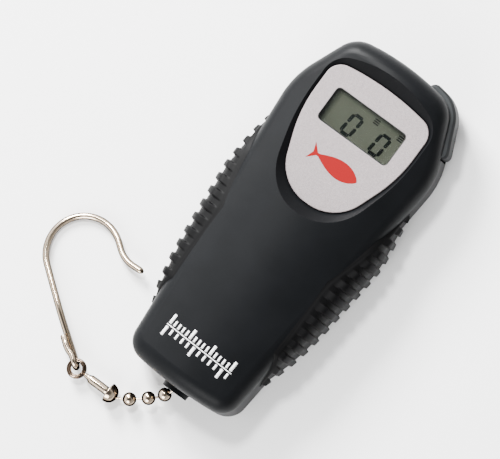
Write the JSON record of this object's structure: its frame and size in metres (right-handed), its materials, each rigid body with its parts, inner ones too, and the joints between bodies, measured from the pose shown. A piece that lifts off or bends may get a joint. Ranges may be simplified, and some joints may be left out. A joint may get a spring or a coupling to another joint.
{
  "type": "digital fish scale",
  "caption": "Hand-held digital hanging scale with rubber side grips, a window display, a corner button, and a hook on a swivel and ball chain.",
  "frame": {"origin": "centre of the housing's flat back, at the middle of its length", "axes": "+Z out of the face with the display, +Y towards the display end, the hook end towards -Y; the part lies on its back"},
  "size_m": [0.1007, 0.154, 0.0255],
  "materials": {
    "shell_black": "soft-touch black",
    "grip_rubber": "moulded ribbed",
    "plate_silver": "fine satin",
    "lens_clear": "clear",
    "lcd_grey": "reflective liquid crystal",
    "button_grey": "fine textured",
    "nylon_black": "smooth",
    "inner_plastic": "moulded",
    "chain_nickel": "bright nickel plate",
    "steel_zinc": "zinc plated",
    "cell_alloy": "machined",
    "brass": "turned",
    "board_green": "solder mask",
    "chip_black": "moulded epoxy",
    "battery_wrap": "printed sleeve without print",
    "gauge_foil": "polyimide foil",
    "zebra_rubber": "layered conductive"
  },
  "bodies": {
    "housing": {"rear_cover": "shell_black", "front_cover": "shell_black", "left_grip": "grip_rubber", "right_grip": "grip_rubber", "bezel_plate": "plate_silver", "display_lens": "lens_clear", "lcd_glass": "lcd_grey", "lcd_frame": "inner_plastic", "zebra_strips": "zebra_rubber", "circuit_board": "board_green", "board_screws": "steel_zinc", "controller_chip": "chip_black", "board_parts": "chip_black", "tact_switch": "chip_black", "battery_cells": "battery_wrap", "battery_contacts": "steel_zinc", "battery_springs": "steel_zinc", "load_cell": "cell_alloy", "strain_gauges": "gauge_foil", "anchor_plate": "steel_zinc", "anchor_screws": "steel_zinc", "cell_bolt": "steel_zinc", "chain_anchor": "brass", "bushing": "nylon_black", "cover_screws": "steel_zinc", "bead_0": "chain_nickel"},
    "power_button": {"power_button": "button_grey", "switch_plunger": "nylon_black"},
    "battery_door": {"battery_door": "shell_black"},
    "link_1": {"link_1": "chain_nickel"},
    "bead_1": {"bead_1": "chain_nickel"},
    "link_2": {"link_2": "chain_nickel"},
    "bead_2": {"bead_2": "chain_nickel"},
    "link_3": {"link_3": "chain_nickel"},
    "bead_3": {"bead_3": "chain_nickel"},
    "link_4": {"link_4": "chain_nickel"},
    "swivel_bell": {"swivel_bell": "chain_nickel"},
    "swivel": {"swivel_barrel": "chain_nickel", "swivel_ring": "chain_nickel"},
    "hook": {"hook": "chain_nickel"}
  },
  "joints": [
    {"name": "button_press", "type": "slide", "parent": "housing", "child": "power_button", "axis": [-0.72, -0.694, 0], "range_m": [0, 0.0006], "stiffness_N_per_m": 2000},
    {"name": "door_hinge", "type": "hinge", "parent": "housing", "child": "battery_door", "pos_m": [0, 0.009, 0.0013], "axis": [-1, 0, 0], "range_deg": [0, 100]},
    {"name": "link_1_swing", "type": "hinge", "parent": "housing", "child": "link_1", "pos_m": [0, -0.06757, 0.0095], "axis": [0, 0, 1], "range_deg": [-2, 48]},
    {"name": "bead_1_tilt", "type": "hinge", "parent": "link_1", "child": "bead_1", "pos_m": [-0.00116, -0.06959, 0.00892], "axis": [-0.809, 0.5878, 0], "range_deg": [-12, 30]},
    {"name": "link_2_swing", "type": "hinge", "parent": "bead_1", "child": "link_2", "pos_m": [-0.00357, -0.0729, 0.00692], "axis": [0, 0, -1], "range_deg": [-40, 6]},
    {"name": "bead_2_tilt", "type": "hinge", "parent": "link_2", "child": "bead_2", "pos_m": [-0.00508, -0.07426, 0.00565], "axis": [0.6157, -0.788, 0], "range_deg": [-22, 30]},
    {"name": "link_3_swing", "type": "hinge", "parent": "bead_2", "child": "link_3", "pos_m": [-0.00836, -0.07682, 0.0038], "axis": [0, 0, 1], "range_deg": [-6, 28]},
    {"name": "bead_3_tilt", "type": "hinge", "parent": "link_3", "child": "bead_3", "pos_m": [-0.0102, -0.07832, 0.00347], "axis": [-0.6018, 0.7986, 0], "range_deg": [-30, 22]},
    {"name": "link_4_swing", "type": "hinge", "parent": "bead_3", "child": "link_4", "pos_m": [-0.01384, -0.08106, 0.00347], "axis": [0, 0, -1], "range_deg": [-40, 6]},
    {"name": "bell_tilt", "type": "hinge", "parent": "link_4", "child": "swivel_bell", "pos_m": [-0.01602, -0.08203, 0.00364], "axis": [0, -1, 0], "range_deg": [-24, 20]},
    {"name": "swivel_spin", "type": "hinge", "parent": "swivel_bell", "child": "swivel", "pos_m": [-0.01602, -0.08203, 0.00364], "axis": [-1, 0, 0], "continuous": true},
    {"name": "hook_swing", "type": "hinge", "parent": "swivel", "child": "hook", "pos_m": [-0.03292, -0.08203, 0.00364], "axis": [0, 0, -1], "range_deg": [-105, 6]}
  ]
}
